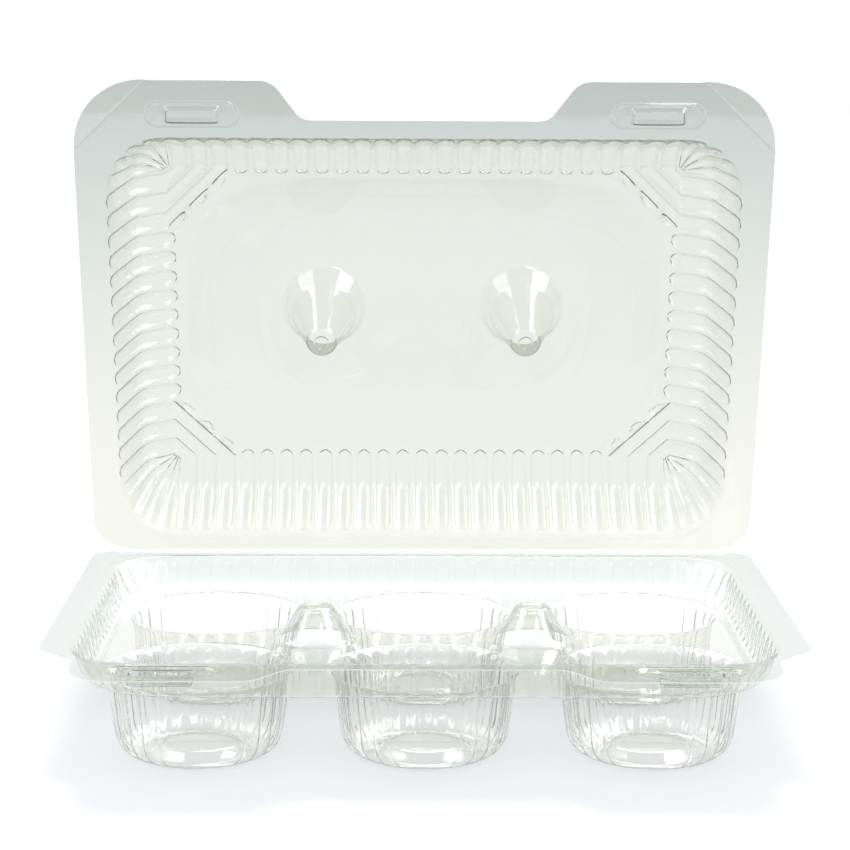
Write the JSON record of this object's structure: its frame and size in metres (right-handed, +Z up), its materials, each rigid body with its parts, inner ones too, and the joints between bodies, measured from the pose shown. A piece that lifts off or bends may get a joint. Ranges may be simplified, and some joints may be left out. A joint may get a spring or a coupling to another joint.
{
  "type": "clamshell pack",
  "caption": "Clear plastic clamshell pack for muffins: tray of fluted cups with a domed lid on a rear hinge, standing open.",
  "frame": {"origin": "middle of the open pack's footprint on the ground it stands on", "axes": "+Z up; the pack's front edge with its two tabs faces -Y; the hinge runs along X"},
  "size_m": [0.33, 0.2776, 0.2915],
  "materials": {
    "clear_pet": "gloss"
  },
  "bodies": {
    "base": {"base_tray": "clear_pet"},
    "lid": {"lid": "clear_pet"}
  },
  "joints": [
    {"name": "lid_hinge", "type": "hinge", "parent": "base", "child": "lid", "pos_m": [0, 0.10616, 0.05415], "axis": [-1, 0, 0], "range_deg": [-75.2, 104.8]}
  ]
}
